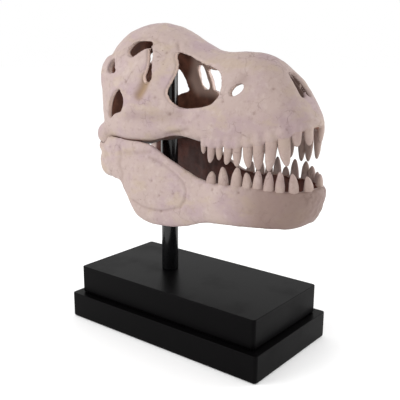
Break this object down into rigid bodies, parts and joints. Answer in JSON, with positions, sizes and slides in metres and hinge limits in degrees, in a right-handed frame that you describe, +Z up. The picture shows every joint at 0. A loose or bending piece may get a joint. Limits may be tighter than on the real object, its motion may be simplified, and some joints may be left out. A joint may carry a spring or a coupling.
{
  "type": "tyrannosaurus skull display casting on a stand",
  "caption": "Still display casting of a dinosaur skull with its lower jaw, toothed and hollow behind its side openings, held on a black rod over a stepped black base.",
  "frame": {"origin": "middle of the underside of the lower base tier, on the surface that the stand rests on", "axes": "+X the way the skull faces, +Y its left side, +Z up"},
  "size_m": [0.328, 0.16, 0.3898],
  "materials": {
    "bone": "cast resin painted as pale fossil bone, chalky, with pink, grey and yellow mottling, fine cracks and pits, dark brown inside",
    "rod": "gloss black painted steel",
    "base": "satin black painted wood"
  },
  "bodies": {
    "root": {"snout": "bone", "cheek_right": "bone", "cheek_left": "bone", "skull_roof": "bone", "palate": "bone", "skull_back": "bone", "jaw_right": "bone", "jaw_left": "bone", "stand_rod": "rod", "stand_base_lower": "base", "stand_base_upper": "base"}
  },
  "joints": []
}
